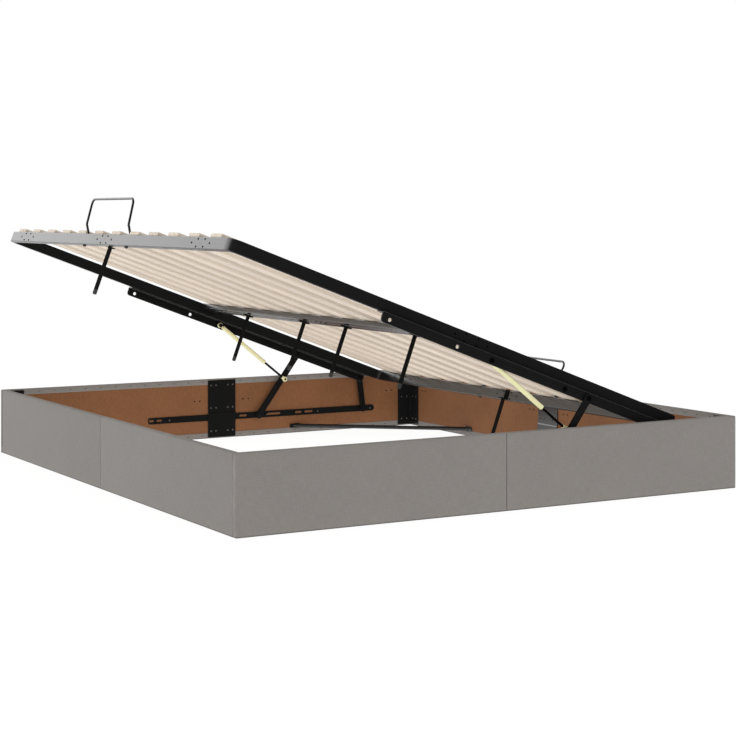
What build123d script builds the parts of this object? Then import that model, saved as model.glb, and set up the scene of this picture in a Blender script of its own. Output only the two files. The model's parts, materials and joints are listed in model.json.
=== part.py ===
from build123d import *
from math import atan2, cos, degrees, hypot, radians, sin
import os

os.makedirs("parts", exist_ok=True)

# Ottoman storage bed, side lifting, drawn with its slatted lid open.
# X runs along the sleeping length, Y across the bed from the lifting side to
# the hinge side, Z up. The origin is on the floor under the middle of the box.

# Box of upholstered boards
bed_length = 2030
bed_width = 1830
box_height = 238
core_thick = 18
cloth_thick = 1
hem_high = 22
pair_hole_radius = 3
pair_hole_depth = 12
pair_pitch = 24
pair_inset = 108
pair_z = 152

# Pressed steel fittings inside the box
plate_thick = 2.5
plate_wide = 122
plate_foot = 5
channel_room = 3
channel_depth = 4
bracket_leg = 64
bracket_foot = 5
screw_head_radius = 5
screw_head_high = 2.4
plate_round = 3
plate_column_shares = (-0.79, -0.43, 0.43, 0.79)
bracket_column_shares = (0.31, 0.72)
screw_row_shares = (0.13, 0.53, 0.92)

# Floor braces across the two hinge-side corners
brace_radius = 7.5
brace_z = 30
brace_reach_y = 562
brace_reach_x = 452
brace_tab_long = 44
brace_tab_thick = 3

# Fixed rails of the lifting gear, on the end boards
fixed_rail_high = 25
fixed_rail_thick = 3
fixed_rail_z = 84
fixed_rail_long = 1034
fixed_rail_end_gap = 183
rail_slot_high = 9
rail_slot_place_shares = (-0.485, -0.453, -0.096, 0.04, 0.15, 0.196)
rail_slot_long_shares = (0.022, 0.022, 0.033, 0.059, 0.03, 0.038)
rail_screw_shares = (-0.411, 0.009, 0.237, 0.481)

# Lid frame of bent rectangular tube
lid_end_gap = 59.5
lid_back_gap = 46
lid_tilt = 20.3
lid_back_open_z = 237
front_gap = 12
tube_high = 38
tube_wide = 20
tube_wall = 2
tube_round = 3
lid_corner_radius = 38
corner_rail_long = 203.5
insert_long = 200
insert_play = 0.1
centre_rail_wide = 34
centre_rail_high = 18
centre_rail_gap = 0.6
bolt_head_radius = 3.2
bolt_head_high = 1.5
bolt_mid_offset = 62
bolt_pair_offset = 24
bolt_row_drop = 12

# Slats
slat_count = 12
slat_end_gap = 120
slat_wide = 70
slat_thick = 12
slat_camber = 12
slat_seat = 15
slat_inset = 3
slat_gap = 3

# Legs under the lid
leg_length = 200
leg_radius = 7
leg_inset = 30
floor_gap = 0.3
foot_high = 17
foot_round = 5
leg_plate_thick = 3
leg_plate_wide = 24
leg_tab_spare = 6
centre_leg_shares = (0.16, 0.633)

# Mattress retainers of bent wire
wire_radius = 4
retainer_pitch_share = 1.5
retainer_slat_gap = 10
retainer_tail = 3
retainer_kink_low = 3
retainer_kink_high = 28
retainer_lean = 15
retainer_flare = 11
retainer_high = 120
retainer_corner = 22
retainer_bend = 10

# Moving rails, angle section, under the lid's side tubes
moving_rail_side_gap = 16.5
moving_rail_thick = 4
moving_flange_thick = 3
moving_flange_wide = 35
moving_rail_drop = 32
moving_rail_long = 1132
moving_rail_end_gap = 70
moving_rail_round = 12
moving_hole_shares = (0.027, 0.251)
moving_hole_radius = 6
spare_bolt_share = 0.628

# Linkage
arm_side_gap = 4
arm_thick = 5
arm_wide = 25
arm_eye_radius = 14
link_wide = 25
link_eye_radius = 13
link_pivot_inset = 62
arm_pivot_share = 0.1788
pivot_drop = 56
pin_radius = 5
pin_head_radius = 9
pin_head_high = 3
collar_radius = 8
side_play = 0.5
running_play = 0.05
board_bite = 12

# Gas struts
strut_side_gap = 17
strut_pivot_inset = 418
strut_eye_share = 0.6
strut_eye_radius = 10
strut_eye_thick = 10
strut_pin_radius = 4
barrel_radius = 8
barrel_long = 240
barrel_start = 14
barrel_round = 2
barrel_neck_radius = 4.5
barrel_floor = 40
rod_radius = 4.5
rod_hidden = 60

# How far a cutting tool runs past a face
overrun = 5

# The box, worked out from the sizes above
half_length = bed_length / 2
half_width = bed_width / 2
panel_thick = core_thick + 2 * cloth_thick
inner_x = half_length - panel_thick
inner_y = half_width - panel_thick
core_face_x = inner_x + cloth_thick
core_face_y = inner_y + cloth_thick
plate_top = box_height - bracket_foot
screw_rows = [share * plate_top for share in screw_row_shares]

# The lid
tilt_sin = sin(radians(lid_tilt))
tilt_cos = cos(radians(lid_tilt))
lid_length = bed_length - 2 * lid_end_gap
lid_depth = 2 * inner_y - front_gap - lid_back_gap
lid_open_z = lid_back_open_z + lid_depth * tilt_sin
deck_closed_z = leg_length + floor_gap
half_lid = lid_length / 2
side_tube_in = half_lid - tube_wide
lid_middle_s = lid_depth / 2
corner_joint_x = half_lid - corner_rail_long
slat_pitch = (lid_length - 2 * slat_end_gap) / (slat_count - 1)
retainer_half_wide = retainer_pitch_share * slat_pitch - slat_wide / 2 - retainer_slat_gap
centre_tube_offset = (centre_rail_wide + centre_rail_gap) / 2
centre_leg_s = lid_middle_s + centre_tube_offset

# The linkage, outwards from the lid's side tube to the end board
moving_rail_out = half_lid + moving_rail_side_gap
moving_rail_in = moving_rail_out - moving_rail_thick
moving_rail_back = lid_depth - moving_rail_end_gap
moving_rail_front = moving_rail_back - moving_rail_long
strut_x = moving_rail_out - strut_side_gap
strut_pivot_s = moving_rail_front + strut_pivot_inset
arm_in = moving_rail_out + arm_side_gap
arm_out = arm_in + arm_thick
fixed_rail_in = core_face_x - fixed_rail_thick
fixed_rail_back = inner_y - fixed_rail_end_gap
link_pivot = (fixed_rail_back - link_pivot_inset, fixed_rail_z)
arm_pivot = (arm_pivot_share * inner_y, fixed_rail_z)

SIDES = (("left", -1), ("right", 1))
ENDS = (("front", -1), ("back", 1))

deck_plane = Plane(
    origin=(0, -inner_y, lid_open_z), x_dir=(1, 0, 0), z_dir=(0, tilt_sin, tilt_cos)
)
lid_up = Axis(deck_plane.origin, deck_plane.z_dir)


def deck(w):
    """Plane parallel to the lid, w above its top. Sketch in x and s, s from the front edge."""
    return deck_plane.offset(w)


def lid_section(x):
    """Plane across the lid at x. Sketch in s and w."""
    return Plane(origin=deck_plane.from_local_coords((x, 0, 0)), x_dir=deck_plane.y_dir, z_dir=(1, 0, 0))


def box_section(x):
    """Upright plane across the box at x. Sketch in y and z."""
    return Plane(origin=(x, 0, 0), x_dir=(0, 1, 0), z_dir=(1, 0, 0))


def bar_plane(x, start, end):
    """Plane at x with its origin at start and its first axis towards end, both in y and z."""
    run = (end[0] - start[0], end[1] - start[1])
    return Plane(origin=(x, *start), x_dir=(0, *run), z_dir=(1, 0, 0))


def open_point(s, w):
    """Place in y and z of a point of the lid when it is open."""
    return (-inner_y + s * tilt_cos + w * tilt_sin, lid_open_z - s * tilt_sin + w * tilt_cos)


def closed_point(s, w):
    """Place in y and z of the same point when the lid is shut."""
    return (-inner_y + front_gap + s, deck_closed_z + w)


def carried_s(pivot, w):
    """Place along the lid that is equally far from a fixed pivot with the lid open and shut."""
    start_open = open_point(0, w)
    start_shut = closed_point(0, w)
    open_y = start_open[0] - pivot[0]
    open_z = start_open[1] - pivot[1]
    shut_y = start_shut[0] - pivot[0]
    shut_z = start_shut[1] - pivot[1]
    along = open_y * tilt_cos - open_z * tilt_sin - shut_y
    return (shut_y**2 + shut_z**2 - open_y**2 - open_z**2) / (2 * along)


def slope(start, end):
    return degrees(atan2(end[1] - start[1], end[0] - start[0]))


def distance(start, end):
    return hypot(end[0] - start[0], end[1] - start[1])


def between(start, end, share):
    return tuple(a + (b - a) * share for a, b in zip(start, end))


arm_pin_s = carried_s(arm_pivot, -pivot_drop)
link_pin_s = carried_s(link_pivot, -pivot_drop)
arm_pin = open_point(arm_pin_s, -pivot_drop)
link_pin = open_point(link_pin_s, -pivot_drop)
arm_pin_shut = closed_point(arm_pin_s, -pivot_drop)
link_pin_shut = closed_point(link_pin_s, -pivot_drop)
strut_pin = open_point(strut_pivot_s, -pivot_drop)
strut_pin_shut = closed_point(strut_pivot_s, -pivot_drop)
strut_foot = between(arm_pivot, arm_pin, strut_eye_share)
strut_foot_shut = between(arm_pivot, arm_pin_shut, strut_eye_share)

# Angles that the joints turn through as the lid shuts, and the strut's stroke
arm_turn = slope(arm_pivot, arm_pin) - slope(arm_pivot, arm_pin_shut)
lid_turn = arm_turn + lid_tilt
link_turn = slope(link_pivot, link_pin) - slope(link_pivot, link_pin_shut)
strut_turn = slope(strut_pin_shut, strut_foot_shut) - slope(strut_pin, strut_foot) - lid_tilt
strut_open = distance(strut_pin, strut_foot)
strut_shut = distance(strut_pin_shut, strut_foot_shut)
strut_stroke = strut_open - strut_shut


def keep(piece, name):
    """Label a finished piece and write it."""
    piece.part.label = name
    export_step(piece.part, f"parts/{name}.step")


def peg(plane, spot, radius, reach, mode=Mode.ADD):
    """Round peg on a plane, at a spot of it, reaching along its normal."""
    with BuildSketch(plane) as ring:
        with Locations(spot):
            Circle(radius)
    extrude(ring.sketch, amount=reach, mode=mode)


# Boards and their covers. Each side of the box is two boards that meet in its middle.
# A panel is its name, centre in x and y, size in x and y, and the way to the inside.
panels = []
for side, sx in SIDES:
    for end, sy in ENDS:
        long_middle = (sx * inner_x / 2, sy * (half_width - panel_thick / 2))
        panels.append((f"{end}_{side}", *long_middle, inner_x, panel_thick, (0, -sy)))
        end_middle = (sx * (half_length - panel_thick / 2), sy * half_width / 2)
        panels.append((f"end_{side}_{end}", *end_middle, panel_thick, half_width, (-sx, 0)))

for name, x, y, size_x, size_y, inside in panels:
    core_x = size_x - 2 * cloth_thick
    core_y = size_y - 2 * cloth_thick
    core_high = box_height - 2 * cloth_thick
    runs_along_x = inside[0] == 0
    with BuildPart() as board:
        with Locations((x, y, box_height / 2)):
            Box(core_x, core_y, core_high)
        if runs_along_x:
            on_wall = (0, -inside[1] * core_face_y, 0)
            wall = Plane(origin=on_wall, x_dir=(1, 0, 0), z_dir=(0, inside[1], 0))
            corner = inner_x
            outward = 1 if x > 0 else -1
        else:
            on_wall = (-inside[0] * core_face_x, 0, 0)
            wall = Plane(origin=on_wall, x_dir=(0, 1, 0), z_dir=(inside[0], 0, 0))
            corner = inner_y
            outward = 1 if y > 0 else -1
        up = wall.y_dir.Z
        spots = []
        for place in (pair_inset, corner - pair_inset):
            for half in (-pair_pitch / 2, pair_pitch / 2):
                spots.append((outward * (place + half), up * pair_z))
        for spot in spots:
            peg(wall, spot, pair_hole_radius, -pair_hole_depth, Mode.SUBTRACT)
        if not runs_along_x and outward > 0:
            for pivot in (arm_pivot, link_pivot):
                hole = (pivot[0], up * pivot[1])
                peg(wall, hole, pin_radius + running_play, -board_bite - running_play, Mode.SUBTRACT)
    keep(board, f"board_{name}")

    with BuildPart() as cover:
        with Locations((x, y, box_height / 2)):
            Box(size_x, size_y, box_height)
            Box(core_x, core_y, core_high, mode=Mode.SUBTRACT)
        window_y = y + inside[1] * (size_y + overrun) / 2
        window_x = x + inside[0] * (size_x + overrun) / 2
        window_deep = overrun + 2 * cloth_thick
        with Locations((window_x, window_y, box_height / 2)):
            if runs_along_x:
                Box(size_x, window_deep, box_height - 2 * hem_high, mode=Mode.SUBTRACT)
            else:
                Box(window_deep, size_y, box_height - 2 * hem_high, mode=Mode.SUBTRACT)
    keep(cover, f"cover_{name}")

# Joiner plates over the middle joint of each side, with a pressed channel for the fixed rail
channel_low = fixed_rail_z - fixed_rail_high / 2 - channel_room
channel_high = fixed_rail_z + fixed_rail_high / 2 + channel_room
joints = {
    "front": ((0, -inner_y, 0), (0, 1, 0)),
    "back": ((0, inner_y, 0), (0, -1, 0)),
    "left": ((-inner_x, 0, 0), (1, 0, 0)),
    "right": ((inner_x, 0, 0), (-1, 0, 0)),
}
for name, (origin, inward) in joints.items():
    edge = Plane(origin=origin, x_dir=inward, z_dir=(inward[1], -inward[0], 0))
    with BuildPart() as joiner:
        with BuildSketch(edge) as outline:
            with BuildLine() as bend:
                Polyline(
                    (0, plate_foot),
                    (0, channel_low - channel_depth),
                    (channel_depth, channel_low),
                    (channel_depth, channel_high),
                    (0, channel_high + channel_depth),
                    (0, plate_top),
                )
                offset(amount=plate_thick, kind=Kind.INTERSECTION, side=Side.RIGHT)
            make_face()
        extrude(amount=plate_wide / 2, both=True)
        fillet(joiner.edges().filter_by(Axis((0, 0, 0), inward)), radius=plate_round)
    keep(joiner, f"joiner_plate_{name}")

# Corner brackets
for side, sx in SIDES:
    for end, sy in ENDS:
        inner_side = Side.RIGHT if sx * sy > 0 else Side.LEFT
        with BuildPart() as bracket:
            with BuildSketch(Plane.XY.offset(bracket_foot)) as outline:
                with BuildLine() as bend:
                    Polyline(
                        (sx * (inner_x - bracket_leg), sy * inner_y),
                        (sx * inner_x, sy * inner_y),
                        (sx * inner_x, sy * (inner_y - bracket_leg)),
                    )
                    offset(amount=plate_thick, kind=Kind.INTERSECTION, side=inner_side)
                make_face()
            extrude(amount=plate_top - bracket_foot)
            leg_ends = bracket.faces().filter_by(Plane.XY, reverse=True).sort_by(SortBy.AREA)[:2]
            fillet(leg_ends.edges().filter_by(Plane.XY), radius=plate_round)
        keep(bracket, f"corner_bracket_{end}_{side}")

# Floor braces: a tube across each hinge-side corner, its flattened ends on the boards
for side, sx in SIDES:
    on_end = (sx * inner_x, inner_y - brace_reach_y)
    on_back = (sx * (inner_x - brace_reach_x), inner_y)
    run = (on_back[0] - on_end[0], on_back[1] - on_end[1], 0)
    tab_high = 2 * brace_radius
    with BuildPart() as brace:
        with BuildSketch(Plane(origin=(*on_end, brace_z), z_dir=run)) as tube:
            Circle(brace_radius)
        extrude(amount=distance(on_end, on_back) + overrun)
        extrude(tube.sketch, amount=-overrun)
        with Locations((0, 0, brace_z)):
            Box(
                2 * (inner_x - brace_tab_thick),
                2 * (inner_y - brace_tab_thick),
                2 * tab_high,
                mode=Mode.INTERSECT,
            )
        with Locations((on_end[0] - sx * brace_tab_thick / 2, on_end[1], brace_z)):
            Box(brace_tab_thick, brace_tab_long, tab_high)
        with Locations((on_back[0], on_back[1] - brace_tab_thick / 2, brace_z)):
            Box(brace_tab_long, brace_tab_thick, tab_high)
    keep(brace, f"corner_brace_{side}")

# Fixed rails, which carry both pivots
rail_mid = fixed_rail_back - fixed_rail_long / 2
for side, sx in SIDES:
    face = box_section(sx * fixed_rail_in)
    with BuildPart() as rail:
        with BuildSketch(face) as outline:
            with Locations((rail_mid, fixed_rail_z)):
                SlotOverall(fixed_rail_long, fixed_rail_high)
            for place, long in zip(rail_slot_place_shares, rail_slot_long_shares):
                with Locations((rail_mid + place * fixed_rail_long, fixed_rail_z)):
                    SlotOverall(long * fixed_rail_long, rail_slot_high, mode=Mode.SUBTRACT)
            with Locations(arm_pivot, link_pivot):
                Circle(pin_radius + running_play, mode=Mode.SUBTRACT)
        extrude(amount=sx * fixed_rail_thick)
    keep(rail, f"fixed_rail_{side}")

# Shoulder bolts of the two fixed pivots on each side
with BuildPart() as fixed_pivots:
    for side, sx in SIDES:
        for pivot in (arm_pivot, link_pivot):
            head_start = arm_in - side_play - pin_head_high
            shank_long = core_face_x + board_bite - head_start
            collar_start = arm_out + side_play
            peg(box_section(sx * head_start), pivot, pin_head_radius, sx * pin_head_high)
            peg(box_section(sx * head_start), pivot, pin_radius, sx * shank_long)
            peg(box_section(sx * collar_start), pivot, pin_head_radius, sx * (fixed_rail_in - collar_start))
keep(fixed_pivots, "fixed_pivots")

# Screw heads on the plates, brackets, braces and fixed rails
with BuildPart() as board_screws:
    for origin, inward in joints.values():
        wall = Plane(origin=origin, x_dir=(inward[1], -inward[0], 0), z_dir=inward).offset(plate_thick)
        up = wall.y_dir.Z
        for share in plate_column_shares:
            column = share * plate_wide / 2
            for row in screw_rows:
                peg(wall, (column, up * row), screw_head_radius, screw_head_high)
    for side, sx in SIDES:
        for end, sy in ENDS:
            for share in bracket_column_shares:
                column = share * bracket_leg
                for row in screw_rows:
                    on_end = box_section(sx * (inner_x - plate_thick))
                    peg(on_end, (sy * (inner_y - column), row), screw_head_radius, -sx * screw_head_high)
                    on_side = Plane(
                        origin=(0, sy * (inner_y - plate_thick), 0), x_dir=(1, 0, 0), z_dir=(0, -1, 0)
                    )
                    peg(on_side, (sx * (inner_x - column), row), screw_head_radius, sy * screw_head_high)
        for share in rail_screw_shares:
            spot = (rail_mid + share * fixed_rail_long, fixed_rail_z)
            peg(box_section(sx * fixed_rail_in), spot, screw_head_radius, -sx * screw_head_high)
keep(board_screws, "board_screws")

# Lid frame: one closed tube round the lid, cut where its lengths meet
with BuildPart() as lid_tube:
    with BuildSketch(deck(-tube_high)) as outline:
        with Locations((0, lid_middle_s)):
            RectangleRounded(lid_length, lid_depth, lid_corner_radius)
            RectangleRounded(
                lid_length - 2 * tube_wide,
                lid_depth - 2 * tube_wide,
                lid_corner_radius - tube_wide,
                mode=Mode.SUBTRACT,
            )
    extrude(amount=tube_high)
    flats = lid_tube.faces().sort_by(lid_up)
    fillet(flats[0].edges() + flats[-1].edges(), radius=tube_round)
    with BuildSketch(deck(tube_wall - tube_high)) as hollow:
        with Locations((0, lid_middle_s)):
            RectangleRounded(
                lid_length - 2 * tube_wall, lid_depth - 2 * tube_wall, lid_corner_radius - tube_wall
            )
            RectangleRounded(
                lid_length - 2 * (tube_wide - tube_wall),
                lid_depth - 2 * (tube_wide - tube_wall),
                lid_corner_radius - tube_wide + tube_wall,
                mode=Mode.SUBTRACT,
            )
    extrude(amount=tube_high - 2 * tube_wall, mode=Mode.SUBTRACT)
    for end, sy in ENDS:
        wire_s = lid_middle_s + sy * (lid_middle_s - tube_wide / 2)
        for side, sx in SIDES:
            spot = (sx * retainer_half_wide, wire_s)
            peg(deck(overrun), spot, wire_radius + running_play, -tube_high - 2 * overrun, Mode.SUBTRACT)

for side, sx in SIDES:
    for end, sy in ENDS:
        with BuildPart() as corner_rail:
            add(lid_tube.part)
            with BuildSketch(deck(-tube_high - overrun)) as region:
                with Locations((sx * half_lid, lid_middle_s + sy * lid_middle_s)):
                    Rectangle(2 * corner_rail_long, 2 * lid_middle_s)
            extrude(amount=tube_high + 2 * overrun, mode=Mode.INTERSECT)
        keep(corner_rail, f"lid_corner_rail_{end}_{side}")
        with BuildPart() as long_rail:
            add(lid_tube.part)
            with BuildSketch(deck(-tube_high - overrun)) as region:
                with Locations((sx * corner_joint_x / 2, lid_middle_s + sy * lid_middle_s)):
                    Rectangle(corner_joint_x, 2 * lid_middle_s)
            extrude(amount=tube_high + 2 * overrun, mode=Mode.INTERSECT)
        keep(long_rail, f"lid_{end}_rail_{side}")

# Joints of the lid frame: place in x and s, and the outward way, of each
lid_joints = []
for side, sx in SIDES:
    lid_joints.append((sx * half_lid, lid_middle_s, (sx, 0)))
for end, sy in ENDS:
    edge_s = lid_middle_s + sy * lid_middle_s
    for x in (-corner_joint_x, 0, corner_joint_x):
        lid_joints.append((x, edge_s, (0, sy)))

# Solid inserts inside the tube at each joint
insert_thick = tube_wide - 2 * tube_wall - 2 * insert_play
insert_high = tube_high - 2 * tube_wall - 2 * insert_play
with BuildPart() as inserts:
    for x, s, (out_x, out_s) in lid_joints:
        with BuildSketch(deck(-tube_high / 2)) as outline:
            with Locations((x - out_x * tube_wide / 2, s - out_s * tube_wide / 2)):
                if out_x:
                    Rectangle(insert_thick, insert_long)
                else:
                    Rectangle(insert_long, insert_thick)
        extrude(outline.sketch, amount=insert_high / 2, both=True)
keep(inserts, "lid_joint_inserts")

# Bolt heads on the outer face of each joint: two triples
with BuildPart() as lid_bolts:
    for x, s, (out_x, out_s) in lid_joints:
        face = Plane(
            origin=deck_plane.from_local_coords((x, s, -tube_high / 2)),
            x_dir=deck_plane.y_dir if out_x else deck_plane.x_dir,
            z_dir=(out_x, 0, 0) if out_x else deck_plane.y_dir * out_s,
        )
        for hand in (-1, 1):
            peg(face, (hand * bolt_mid_offset, 0), bolt_head_radius, bolt_head_high)
            for row in (-bolt_row_drop, bolt_row_drop):
                peg(face, (hand * bolt_pair_offset, row), bolt_head_radius, bolt_head_high)
keep(lid_bolts, "lid_bolts")

# Centre rail: two tubes side by side, one for each row's inner ends
with BuildPart() as centre_rail:
    with BuildSketch(lid_section(-side_tube_in)) as outline:
        for end, sy in ENDS:
            with Locations((lid_middle_s + sy * centre_tube_offset, -centre_rail_high / 2)):
                RectangleRounded(centre_rail_wide, centre_rail_high, tube_round)
                Rectangle(
                    centre_rail_wide - 2 * tube_wall, centre_rail_high - 2 * tube_wall, mode=Mode.SUBTRACT
                )
    extrude(amount=2 * side_tube_in)
keep(centre_rail, "lid_centre_rail")

# Two rows of cambered slats
rows = {
    "front": (slat_inset, lid_middle_s - slat_gap / 2),
    "back": (lid_middle_s + slat_gap / 2, lid_depth - slat_inset),
}
for row, (start, end) in rows.items():
    middle = (start + end) / 2
    with BuildPart() as slats:
        for index in range(slat_count):
            x = (index - (slat_count - 1) / 2) * slat_pitch
            with BuildSketch(lid_section(x - slat_wide / 2)) as outline:
                with BuildLine() as edge:
                    Line((start, slat_thick), (start, 0))
                    Line((start, 0), (start + slat_seat, 0))
                    ThreePointArc((start + slat_seat, 0), (middle, slat_camber), (end - slat_seat, 0))
                    Line((end - slat_seat, 0), (end, 0))
                    Line((end, 0), (end, slat_thick))
                    Line((end, slat_thick), (end - slat_seat, slat_thick))
                    ThreePointArc(
                        (end - slat_seat, slat_thick),
                        (middle, slat_camber + slat_thick),
                        (start + slat_seat, slat_thick),
                    )
                    Line((start + slat_seat, slat_thick), (start, slat_thick))
                make_face()
            extrude(outline.sketch, amount=slat_wide)
    keep(slats, f"slats_{row}")

# Legs. The outer two hang from angle plates on the tubes, the inner ones from the centre rail's
# rear tube. Each ends in a rounded foot.
leg_end = foot_high - leg_length
for end, sy in ENDS:
    leg_s = lid_middle_s + sy * (lid_middle_s - leg_inset)
    wall_s = lid_middle_s + sy * (lid_middle_s - tube_wide)
    tab_deep = leg_inset - tube_wide + leg_radius + leg_tab_spare
    with BuildPart() as leg:
        with BuildSketch(deck(-tube_high)) as plate:
            with Locations((0, wall_s - sy * leg_plate_thick / 2)):
                Rectangle(leg_plate_wide, leg_plate_thick)
        extrude(amount=tube_high)
        with BuildSketch(deck(-tube_high)) as tab:
            with Locations((0, wall_s - sy * tab_deep / 2)):
                Rectangle(leg_plate_wide, tab_deep)
        extrude(amount=leg_plate_thick)
        peg(deck(-tube_high), (0, leg_s), leg_radius, leg_end + tube_high)
    keep(leg, f"leg_{end}")

with BuildPart() as centre_legs:
    for side, sx in SIDES:
        for share in centre_leg_shares:
            spot = (sx * share * half_lid, centre_leg_s)
            with BuildSketch(deck(-centre_rail_high)) as plate:
                with Locations(spot):
                    Rectangle(leg_plate_wide, centre_rail_wide)
            extrude(plate.sketch, amount=-leg_plate_thick)
            peg(deck(-centre_rail_high), spot, leg_radius, leg_end + centre_rail_high)
keep(centre_legs, "centre_legs")

leg_spots = [(0, leg_inset), (0, lid_depth - leg_inset)]
for side, sx in SIDES:
    for share in centre_leg_shares:
        leg_spots.append((sx * share * half_lid, centre_leg_s))
with BuildPart() as leg_feet:
    for spot in leg_spots:
        peg(deck(-leg_length), spot, leg_radius, foot_high)
    fillet(leg_feet.edges().group_by(lid_up)[0], radius=foot_round)
keep(leg_feet, "leg_feet")

# Mattress retainers: a wire loop through each outer tube, kinked to lean away from the mattress
for end, sy in ENDS:
    stem_s = lid_middle_s + sy * (lid_middle_s - tube_wide / 2)
    lean_s = stem_s + sy * retainer_lean
    top_s = lean_s + sy * retainer_flare
    stations = (
        (-retainer_half_wide, stem_s, -tube_high - retainer_tail),
        (-retainer_half_wide, stem_s, retainer_kink_low),
        (-retainer_half_wide, lean_s, retainer_kink_high),
        (-retainer_half_wide, top_s, retainer_high - wire_radius),
    )
    other_side = tuple((-x, s, w) for x, s, w in reversed(stations))
    bends = (retainer_bend, retainer_bend, retainer_corner, retainer_corner, retainer_bend, retainer_bend)
    with BuildPart() as retainer:
        with BuildLine() as path:
            FilletPolyline(
                *[deck_plane.from_local_coords(point) for point in (*stations, *other_side)],
                radius=bends,
            )
        with BuildSketch(Plane(origin=path.line @ 0, z_dir=path.line % 0)) as section:
            Circle(wire_radius)
        sweep()
    keep(retainer, f"mattress_retainer_{end}")

# Moving rails
rail_middle_s = (moving_rail_front + moving_rail_back) / 2
moving_hole_places = [moving_rail_front + share * moving_rail_long for share in moving_hole_shares]
spare_bolt_s = moving_rail_front + spare_bolt_share * moving_rail_long
for side, sx in SIDES:
    with BuildPart() as moving_rail:
        with BuildSketch(lid_section(sx * moving_rail_in)) as web:
            with Locations((rail_middle_s, -tube_high - moving_rail_drop / 2)):
                Rectangle(moving_rail_long, moving_rail_drop)
            fillet(web.vertices().group_by(Axis.Y)[0], radius=moving_rail_round)
            with Locations(*[(s, -pivot_drop) for s in moving_hole_places]):
                Circle(moving_hole_radius, mode=Mode.SUBTRACT)
            with Locations((arm_pin_s, -pivot_drop), (link_pin_s, -pivot_drop)):
                Circle(pin_radius + running_play, mode=Mode.SUBTRACT)
            with Locations((strut_pivot_s, -pivot_drop)):
                Circle(strut_pin_radius + running_play, mode=Mode.SUBTRACT)
        extrude(amount=sx * moving_rail_thick)
        with BuildSketch(deck(-tube_high)) as flange:
            with Locations((sx * (moving_rail_out - moving_flange_wide / 2), rail_middle_s)):
                Rectangle(moving_flange_wide, moving_rail_long)
        extrude(amount=-moving_flange_thick)
    keep(moving_rail, f"moving_rail_{side}")

# Pins on the moving rails
strut_eye_out = strut_x + strut_eye_thick / 2
strut_eye_in = strut_x - strut_eye_thick / 2
with BuildPart() as lid_pivots:
    for side, sx in SIDES:
        head_start = moving_rail_in - pin_head_high
        link_reach = arm_in - side_play
        arm_reach = arm_out + side_play + pin_head_high
        for s, reach in ((arm_pin_s, arm_reach), (link_pin_s, link_reach)):
            spot = (s, -pivot_drop)
            peg(lid_section(sx * head_start), spot, collar_radius, sx * pin_head_high)
            peg(lid_section(sx * head_start), spot, pin_radius, sx * (reach - head_start))
            peg(lid_section(sx * moving_rail_out), spot, collar_radius, sx * (link_reach - moving_rail_out))
        cap_start = arm_out + side_play
        peg(lid_section(sx * cap_start), (arm_pin_s, -pivot_drop), pin_head_radius, sx * pin_head_high)
        spot = (strut_pivot_s, -pivot_drop)
        pin_start = strut_eye_in - side_play - pin_head_high
        peg(lid_section(sx * pin_start), spot, collar_radius, sx * pin_head_high)
        pin_long = moving_rail_out + pin_head_high - pin_start
        peg(lid_section(sx * pin_start), spot, strut_pin_radius, sx * pin_long)
        collar_start = strut_eye_out + side_play
        peg(lid_section(sx * collar_start), spot, collar_radius, sx * (moving_rail_in - collar_start))
        for spot in ((strut_pivot_s, -pivot_drop), (spare_bolt_s, -pivot_drop)):
            peg(lid_section(sx * moving_rail_out), spot, collar_radius, sx * pin_head_high)
keep(lid_pivots, "lid_pivots")

# Long arms, each with the stud for its strut
arm_long = distance(arm_pivot, arm_pin)
for side, sx in SIDES:
    with BuildPart() as arm:
        with BuildSketch(bar_plane(sx * arm_in, arm_pivot, arm_pin)) as outline:
            with Locations((arm_long / 2, 0)):
                Rectangle(arm_long, arm_wide)
            with Locations((0, 0), (arm_long, 0)):
                Circle(arm_eye_radius)
                Circle(pin_radius + running_play, mode=Mode.SUBTRACT)
        extrude(amount=sx * arm_thick)
        stud_long = arm_in - strut_eye_out - side_play
        peg(box_section(sx * arm_in), strut_foot, strut_pin_radius, -sx * stud_long)
        peg(box_section(sx * arm_out), strut_foot, collar_radius, sx * pin_head_high)
    keep(arm, f"long_arm_{side}")

# Short links, whose upper eye holds its own rivet
link_long = distance(link_pivot, link_pin)
for side, sx in SIDES:
    with BuildPart() as link:
        with BuildSketch(bar_plane(sx * arm_in, link_pivot, link_pin)) as outline:
            with Locations((link_long / 2, 0)):
                Rectangle(link_long, link_wide)
            with Locations((0, 0), (link_long, 0)):
                Circle(link_eye_radius)
            Circle(pin_radius + running_play, mode=Mode.SUBTRACT)
        extrude(amount=sx * arm_thick)
        peg(box_section(sx * arm_out), link_pin, pin_head_radius, sx * pin_head_high)
    keep(link, f"short_link_{side}")

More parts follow.
